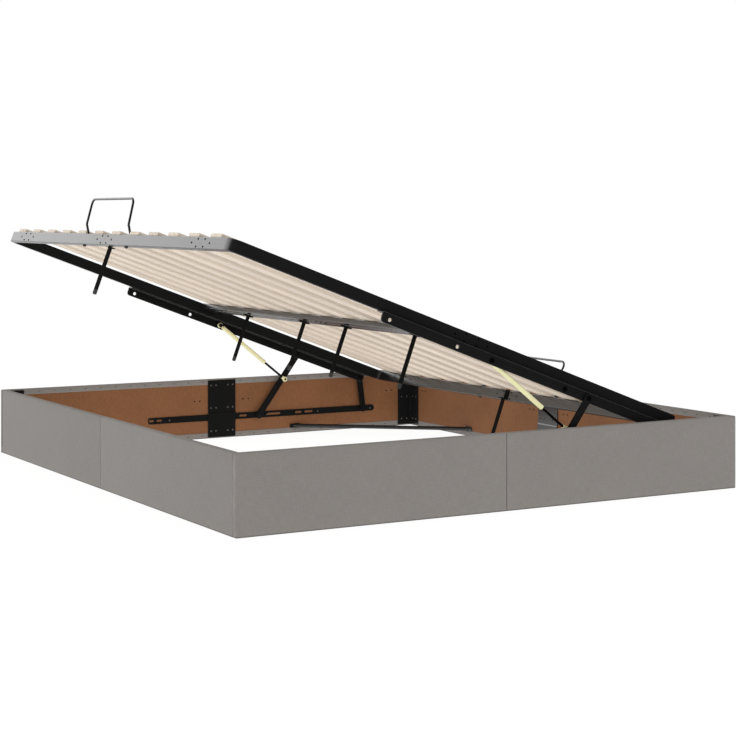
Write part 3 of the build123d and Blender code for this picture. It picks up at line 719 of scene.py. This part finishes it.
def heads(name, outwards):
    """Place of each disc in a CAD node, its axis turned away from the node's middle or towards it."""
    bm = bmesh.new()
    bm.from_mesh(nodes[name].data)
    bmesh.ops.remove_doubles(bm, verts=bm.verts, dist=WELD)
    bm.verts.index_update()
    middle = sum((v.co for v in bm.verts), Vector()) / len(bm.verts)
    left = set(bm.verts)
    places = []
    for first in bm.verts:
        if first not in left:
            continue
        left.remove(first)
        group = {first}
        edge = {first}
        while edge:
            edge = {e.other_vert(v) for v in edge for e in v.link_edges} & left
            left -= edge
            group |= edge
        points = np.array([v.co for v in sorted(group, key=lambda v: v.index)])
        centre = (points.max(0) + points.min(0)) / 2
        axis = Vector(np.linalg.svd(points - centre)[2][2])
        if (axis.dot(Vector(centre) - middle) > 0) != outwards:
            axis.negate()
        places.append(Matrix.Translation(centre) @ turn_to(axis))
    bm.free()
    return places


def rounded(points, bends, steps=6):
    """Points of a line, with its inner corners rounded to these radii."""
    found = [points[0]]
    for before, corner, after, bend in zip(points, points[1:], points[2:], bends):
        way_in = (before - corner).normalized()
        way_out = (after - corner).normalized()
        half = way_in.angle(way_out) / 2
        middle = corner + (way_in + way_out).normalized() * bend / sin(half)
        start = corner + way_in * bend / tan(half) - middle
        end = corner + way_out * bend / tan(half) - middle
        found += [middle + start.lerp(end, step / steps).normalized() * bend for step in range(steps + 1)]
    return found + [points[-1]]


def bent_wire(path, radius, sides=14):
    """Round wire along a line of points."""
    bm = bmesh.new()
    last = path[1] - path[0]
    turn = last.to_track_quat("Z", "Y")
    loops = []
    for before, point, after in zip([path[0]] + path, path, path[1:] + [path[-1]]):
        way = after - before
        turn = last.rotation_difference(way) @ turn
        last = way
        place = Matrix.Translation(point) @ turn.to_matrix().to_4x4()
        ring = bmesh.ops.create_circle(bm, radius=radius, segments=sides, matrix=place)["verts"]
        loops.append(list({e for v in ring for e in v.link_edges}))
    ends = loops[0] + loops[-1]
    for first, second in zip(loops, loops[1:]):
        bmesh.ops.bridge_loops(bm, edges=first + second)
    bmesh.ops.holes_fill(bm, edges=ends, sides=0)
    bmesh.ops.recalc_face_normals(bm, faces=bm.faces)
    return bm


def socket_head(radius, high, socket):
    """Low domed head with a hexagon socket, its middle at the origin."""
    steps = 12
    step = 2 * pi / steps
    socket_rim = 1.01 * socket
    half = high / 2
    floor = half - 0.6 * high
    outline = (
        (0, -half), (radius, -half), (radius, 0), (0.85 * radius, 0.6 * half),
        (0.6 * radius, half), (socket, half), (0.9 * socket, floor), (0, floor),
    )
    bm = turned(outline, steps)
    for v in bm.verts:
        turns = round(Vector((1, 0)).angle_signed(v.co.xy, 0) / step)
        if MERGE < v.co.xy.length < socket_rim and turns % 2:
            v.co.x *= cos(step)
            v.co.y *= cos(step)
    return as_mesh(bm, "head")


# Pieces


def wall_way(name):
    """The way from a panel to the inside of the box."""
    return next(way for wall, way in INWARD.items() if name.startswith(wall))


def make_cover(name, inward, values):
    """Cloth stretched over one board and turned in along its inner side."""
    low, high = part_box(f"cover_{name}")
    size = high - low
    bm = block((low + high) / 2, size)
    for height in (low.z + values.hem, high.z - values.hem):
        everything = bm.verts[:] + bm.edges[:] + bm.faces[:]
        bmesh.ops.bisect_plane(bm, geom=everything, plane_co=(0, 0, height), plane_no=(0, 0, 1))
    middle = (low.z + high.z) / 2
    reach = size.z / 2 - values.hem
    inner = [f for f in bm.faces if f.normal.dot(inward) > FACING]
    window = [f for f in inner if abs(f.calc_center_median().z - middle) < reach]
    bmesh.ops.delete(bm, geom=window, context="FACES")
    folds = [e for e in bm.edges if len(e.link_faces) == 2 and e.calc_face_angle() > CORNER]
    round_edges(bm, folds, values.fold, segments=4)
    side = 0 if inward.y else 1
    deep = 1 - side
    girth = bm.loops.layers.uv.new("girth")
    for f in bm.faces:
        flat = abs(f.normal.z) > FLAT
        for corner in f.loops:
            at = corner.vert.co
            corner[girth].uv = (at[side], at[deep] if flat else at.z)
    piece = new_piece(bm, f"cloth_{name}", "root", "fabric", "taupe_cloth")
    wall = piece.modifiers.new("Cloth", "SOLIDIFY")
    wall.thickness = values.thick
    wall.offset = -1
    wall.use_even_offset = True
    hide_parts(f"cover_{name}")


class BED_OT_covers(Operator):
    """Cloth covers of the eight boards"""

    bl_idname = "bed.covers"
    bl_label = "Cloth Covers"

    def execute(self, context):
        for name in PANELS:
            make_cover(name, wall_way(name), context.scene.bed_cloth)
        return {"FINISHED"}


class BED_OT_staples(Operator):
    """Staples that hold the cloth on the inner sides of the boards"""

    bl_idname = "bed.staples"
    bl_label = "Staples"

    def execute(self, context):
        values = context.scene.bed_cloth
        pattern = block((0, 0, 0), (values.staple_long, values.staple_wire, values.staple_wire))
        round_edges(pattern, pattern.edges[:], values.staple_wire / 3, segments=1)
        places = [place for name in PANELS for place in self.row_places(name, values)]
        bm = copies(as_mesh(pattern, "staple"), places)
        new_piece(bm, "cloth_staples", "root", "zinc", "black_zinc")
        return {"FINISHED"}

    def row_places(self, name, values):
        """Places along the upper and lower hem of a panel."""
        inward = wall_way(name)
        low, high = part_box(f"cover_{name}")
        size = high - low
        along = Vector((abs(inward.y), abs(inward.x), 0))
        middle = (low + high) / 2 + inward * abs(size.dot(inward)) / 2
        reach = size.dot(along) / 2 - values.staple_margin
        count = round(2 * reach / values.staple_pitch)
        places = []
        for height in (low.z + values.hem / 2, high.z - values.hem / 2):
            for index in range(count + 1):
                spot = middle + along * (2 * index / count - 1) * reach
                spot.z = height
                places.append(Matrix.Translation(spot) @ turn_to(inward))
        return places


class BED_OT_boards(Operator):
    """Raw boards inside the covers"""

    bl_idname = "bed.boards"
    bl_label = "Boards"

    def execute(self, context):
        for name in PANELS:
            dress(f"board_{name}", "fibreboard", crisp=True)
        return {"FINISHED"}


class BED_OT_fittings(Operator):
    """Pressed plates, brackets, braces and fixed rails in the box"""

    bl_idname = "bed.fittings"
    bl_label = "Box Fittings"

    def execute(self, context):
        dress_all(("joiner_plate", "corner_bracket", "corner_brace", "fixed_rail"), "black_coat")
        return {"FINISHED"}


class BED_OT_fasteners(Operator):
    """Screw and bolt heads with their sockets"""

    bl_idname = "bed.fasteners"
    bl_label = "Fasteners"

    def execute(self, context):
        values = context.scene.bed_fasteners
        screw = socket_head(values.screw_radius, values.screw_high, values.screw_socket)
        places = heads("board_screws", outwards=False)
        self.set_heads("screw_heads", "board_screws", "root", "grey_zinc", screw, places)
        bolt = socket_head(values.bolt_radius, values.bolt_high, values.bolt_socket)
        places = heads("lid_bolts", outwards=True)
        places += self.far_heads(places, context.scene.bed_lid, values.bolt_high)
        self.set_heads("bolt_heads", "lid_bolts", "lid", "black_zinc", bolt, places)
        return {"FINISHED"}

    def set_heads(self, name, node, body, material, head, places):
        """One piece of like heads, which stands for their CAD node."""
        piece = new_piece(copies(head, places), name, body, "zinc", material)
        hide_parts(node)

    def far_heads(self, places, lid, high):
        """The other ends of the lid's bolts, and the bolts under the seam of its middle rail."""
        over = Matrix.Rotation(pi, 4, "X")
        found = [place @ Matrix.Translation((0, 0, -lid.tube - high)) @ over for place in places]
        below = -lid.middle_rail - high / 2
        wide = lid.splice_wide
        spots = ((lid.splice_bolt, 0), (lid.splice_pair, wide), (lid.splice_pair, -wide))
        for hand in (-1, 1):
            found += [on_lid(hand * x, lid.depth / 2 + off, below) @ over for x, off in spots]
        return found


class BED_OT_lid_frame(Operator):
    """Tubes, inserts and moving rails of the lid"""

    bl_idname = "bed.lid_frame"
    bl_label = "Lid Frame"

    def execute(self, context):
        dress_all(("lid_corner_rail", "lid_front_rail", "lid_back_rail", "lid_centre_rail"), "black_coat")
        # The second finish, on the rails' rounded edges, is a lighter grey painted highlight.
        dress_all("moving_rail", "black_coat", "worn_coat")
        dress("lid_joint_inserts", "black_coat", crisp=True)
        return {"FINISHED"}


class BED_OT_slats(Operator):
    """Two rows of bent plywood slats"""

    bl_idname = "bed.slats"
    bl_label = "Slats"

    def execute(self, context):
        values = context.scene.bed_slats
        lid = context.scene.bed_lid
        long = lid.depth / 2 - values.inset - values.gap / 2
        mesh = self.slat(values, long)
        last = values.count - 1
        pitch = (lid.length - 2 * values.end_gap) / last
        for row, start in (("front", values.inset), ("back", lid.depth - values.inset - long)):
            places = [on_lid((n - last / 2) * pitch, start + long / 2, 0) for n in range(values.count)]
            bm = copies(mesh, places)
            piece = new_piece(bm, f"bent_slats_{row}", "lid", "slat", "slat_face", "slat_edge")
            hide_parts(f"slats_{row}")
        return {"FINISHED"}

    def slat(self, values, long):
        """One slat, its seats on the plane z = 0, its middle at the origin."""
        bm = block((0, 0, values.thick / 2), (values.wide, long, values.thick))
        round_edges(bm, self.long_edges(bm, long), values.round, segments=3)
        rims = [e for e in bm.edges if e.is_manifold and e.calc_face_angle() > CORNER]
        round_edges(bm, rims, values.rim, segments=2)
        bmesh.ops.subdivide_edges(bm, edges=self.long_edges(bm, long), cuts=23, use_grid_fill=True)
        along = bm.loops.layers.uv.new("along")
        for f in bm.faces:
            upright = abs(f.normal.z) < STEEP
            f.material_index = int(upright)
            for corner in f.loops:
                at = corner.vert.co
                corner[along].uv = (at.z if upright else at.x, at.y)
        half = long / 2 - values.seat
        for v in bm.verts:
            v.co.z += values.camber * max(0.0, 1 - (v.co.y / half) ** 2)
        return as_mesh(bm, "slat")

    def long_edges(self, bm, long):
        return [e for e in bm.edges if abs((e.verts[0].co - e.verts[1].co).y) > long / 2]


class BED_OT_legs(Operator):
    """Legs, rubber feet and the two wire mattress retainers"""

    bl_idname = "bed.legs"
    bl_label = "Legs and Retainers"

    def execute(self, context):
        dress_all(("leg_front", "leg_back", "centre_legs"), "matt_coat")
        dress("leg_feet", "rubber", crisp=True)
        wire = context.scene.bed_wire
        lid = context.scene.bed_lid
        front = lid.tube / 2
        back = lid.depth - front
        top = (wire.top_half, front - wire.top_lean, wire.high)
        self.retainer("front", wire, lid, front, front - wire.lean, top)
        top = (wire.back_top, back + wire.back_top_lean, wire.back_high)
        self.retainer("back", wire, lid, back, back + wire.back_lean, top)
        self.caps(wire, lid, (front, back))
        return {"FINISHED"}

    def retainer(self, end, wire, lid, stem, kink, top):
        """One loop of wire through a tube of the lid, kinked away from the mattress."""
        places = ((stem, -lid.tube_high - wire.tail), (stem, wire.low), (kink, wire.kink))
        leg = [(wire.half, *place) for place in places] + [top]
        corners = [Vector((-x, s, h)) for x, s, h in leg] + [Vector(corner) for corner in reversed(leg)]
        bends = (wire.bend, wire.bend, wire.corner, wire.corner, wire.bend, wire.bend)
        path = [on_lid(*point).translation for point in rounded(corners, bends)]
        bm = bent_wire(path, wire.radius)
        piece = new_piece(bm, f"wire_retainer_{end}", "lid", "steel", "black_coat")
        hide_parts(f"mattress_retainer_{end}")

    def caps(self, wire, lid, stems):
        """Push-on caps on the ends of the retainers, under the tubes."""
        outline = (
            (0, 0), (wire.cap, 0), (wire.cap, -0.5 * wire.cap_high),
            (0.7 * wire.cap, -0.85 * wire.cap_high), (0, -wire.cap_high),
        )
        pattern = turned(outline, steps=20)
        places = [on_lid(x, s, -lid.tube_high) for s in stems for x in (-wire.half, wire.half)]
        new_piece(copies(as_mesh(pattern, "cap"), places), "retainer_caps", "lid", "rubber", "rubber")


class BED_OT_linkage(Operator):
    """Arms, links and pins of the lifting gear"""

    bl_idname = "bed.linkage"
    bl_label = "Linkage"

    def execute(self, context):
        dress_all(("long_arm", "short_link"), "matt_coat")
        dress_all(("fixed_pivots", "lid_pivots"), "black_zinc")
        return {"FINISHED"}


class BED_OT_struts(Operator):
    """Gas struts"""

    bl_idname = "bed.struts"
    bl_label = "Gas Struts"

    def execute(self, context):
        for side in ("left", "right"):
            dress(f"strut_barrel_{side}", "cream_paint")
            self.rod(side, context.scene.bed_struts)
        return {"FINISHED"}

    def rod(self, side, values):
        """Dark rod with a cream sleeve and eye, and a black cap in the eye."""
        joints = {joint["name"]: joint for joint in frame["joints"]}
        pin = Vector(joints[f"{side}_strut_swing"]["pos_m"])
        way = -Vector(joints[f"{side}_strut_slide"]["axis"])
        places = [(v.co - pin).dot(way) for v in nodes[f"strut_rod_{side}"].data.vertices]
        top = min(places)
        foot = max(places) - values.eye
        neck = foot - values.sleeve_long
        half = values.eye_thick / 2
        end = half + values.cap_high
        lip = values.lip
        shaft = ((0, top), (values.shaft, top), (values.shaft, foot), (0, foot))
        sleeve = (
            (values.shaft, neck), (values.sleeve - lip, neck),
            (values.sleeve, neck + lip), (values.sleeve, foot),
        )
        eye = (
            (0, -half), (values.eye - lip, -half), (values.eye, lip - half),
            (values.eye, half - lip), (values.eye - lip, half), (0, half),
        )
        cap = (
            (0, half), (values.cap, half), (values.cap, half + values.cap_high / 2),
            (values.cap - lip, end), (0, end),
        )
        inward = Vector((-pin.x, 0, 0)).normalized()
        along = Matrix.Translation(pin) @ turn_to(way)
        across = Matrix.Translation(pin + foot * way) @ turn_to(inward)
        parts = ((shaft, along, 0), (sleeve, along, 1), (eye, across, 1), (cap, across, 2))
        bm = bmesh.new()
        for outline, place, index in parts:
            part = turned(outline, steps=24)
            for f in part.faces:
                f.material_index = index
            bmesh.ops.transform(part, matrix=place, verts=part.verts)
            bm.from_mesh(as_mesh(part, "part"))
        finishes = ("dark_rod", "cream_paint", "black_zinc")
        piece = new_piece(bm, f"gas_rod_{side}", f"rod_{side}", "rod", *finishes)
        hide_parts(f"strut_rod_{side}")


class BED_OT_stage(Operator):
    """Pale floor, soft light and the camera"""

    bl_idname = "bed.stage"
    bl_label = "Stage"

    def execute(self, context):
        stage = context.scene.bed_stage
        self.floor(stage)
        self.sky(context.scene, stage)
        self.lamp("key", stage.key, stage.key_side, stage.key_place, stage.aim)
        self.lamp("fill", stage.fill, stage.fill_side, stage.fill_place, stage.aim)
        self.camera(context.scene, stage)
        context.scene.view_settings.view_transform = "Standard"
        return {"FINISHED"}

    def floor(self, stage):
        """Floor that glows white where it is seen and where metal reflects its near side."""
        bm = bmesh.new()
        bmesh.ops.create_grid(bm, x_segments=1, y_segments=1, size=stage.floor_half)
        mesh = as_mesh(bm, "floor")
        floor = add_object("floor", mesh)
        tree, shader, place = new_material("floor")
        tree.nodes.remove(shader)
        path = add_node(tree, "LightPath").outputs
        direct = calc("MAXIMUM", path["Is Camera Ray"], path["Is Glossy Ray"])
        direct = calc("MAXIMUM", direct, path["Is Transmission Ray"])
        away = along_way(place, stage.shine_way)
        mirrored = spread(away, stage.floor_edge, (stage.dim, stage.glow))
        plain = spread(direct, (0.0, 1.0), (stage.bounce, stage.glow))
        matt = add_node(tree, "BsdfDiffuse", {"Color": (*stage.floor, 1)})
        glow = add_node(tree, "Emission", {"Strength": by_ray(path, plain, mirrored)})
        both = add_node(tree, "AddShader", {0: matt.outputs[0], 1: glow.outputs[0]})
        tree.links.new(both.outputs[0], tree.nodes["Material Output"].inputs["Surface"])
        mesh.materials.append(bpy.data.materials["floor"])

    def sky(self, scene, stage):
        """White where it is seen, even light elsewhere, and one bright panel that metal reflects."""
        world = bpy.data.worlds.new("studio")
        scene.world = world
        world.use_nodes = True
        tree = world.node_tree
        light = tree.nodes["Background"].inputs
        path = add_node(tree, "LightPath").outputs
        way = add_node(tree, "TexCoord").outputs["Generated"]
        facing = along_way(way, stage.shine_way)
        mirrored = spread(facing, stage.panel_edge, (stage.dim, stage.shine))
        seen = calc("MAXIMUM", path["Is Camera Ray"], path["Is Transmission Ray"])
        soft = spread(seen, (0.0, 1.0), (stage.sky, 1.0))
        tree.links.new(by_ray(path, soft, mirrored), light["Strength"])
        light["Color"].default_value = (1, 1, 1, 1)

    def lamp(self, name, power, side, place, aim):
        """Square lamp that lights the object and isn't seen in its gloss."""
        lamp = bpy.data.lights.new(name, "AREA")
        lamp.energy = power
        lamp.size = side
        holder = add_object(name, lamp)
        holder.location = place
        holder.rotation_euler = (Vector(aim) - Vector(place)).to_track_quat("-Z", "Y").to_euler()
        holder.visible_glossy = False

    def camera(self, scene, stage):
        """Level camera with a shifted lens."""
        lens = bpy.data.cameras.new("camera")
        lens.lens = stage.focal
        lens.sensor_width = 36
        lens.clip_end = 100
        lens.shift_x, lens.shift_y = stage.shift
        view = add_object("camera", lens)
        view.location = stage.place
        ahead = Vector((cos(stage.turn), sin(stage.turn), 0))
        view.rotation_euler = ahead.to_track_quat("-Z", "Y").to_euler()
        scene.camera = view


class BED_PT_sizes(Panel):
    """Steps and values of the storage bed"""

    bl_idname = "BED_PT_sizes"
    bl_label = "Storage Bed"
    bl_space_type = "VIEW_3D"
    bl_region_type = "UI"
    bl_category = "Storage Bed"

    def draw(self, context):
        for step in STEPS:
            self.layout.operator(step.bl_idname)
        for key, group in GROUPS.items():
            box = self.layout.box()
            box.label(text=group.__doc__)
            for value in group.__annotations__:
                box.prop(getattr(context.scene, key), value)


STEPS = (
    BED_OT_stage,
    BED_OT_boards,
    BED_OT_covers,
    BED_OT_staples,
    BED_OT_fittings,
    BED_OT_fasteners,
    BED_OT_lid_frame,
    BED_OT_slats,
    BED_OT_legs,
    BED_OT_linkage,
    BED_OT_struts,
)


def register():
    for key, group in GROUPS.items():
        bpy.utils.register_class(group)
        setattr(bpy.types.Scene, key, PointerProperty(type=group))
    for step in STEPS:
        bpy.utils.register_class(step)
    bpy.utils.register_class(BED_PT_sizes)


def unregister():
    bpy.utils.unregister_class(BED_PT_sizes)
    for step in reversed(STEPS):
        bpy.utils.unregister_class(step)
    for key, group in GROUPS.items():
        delattr(bpy.types.Scene, key)
        bpy.utils.unregister_class(group)


def main():
    register()
    for step in STEPS:
        getattr(bpy.ops.bed, step.bl_idname.removeprefix("bed."))()


if __name__ == "__main__":
    main()
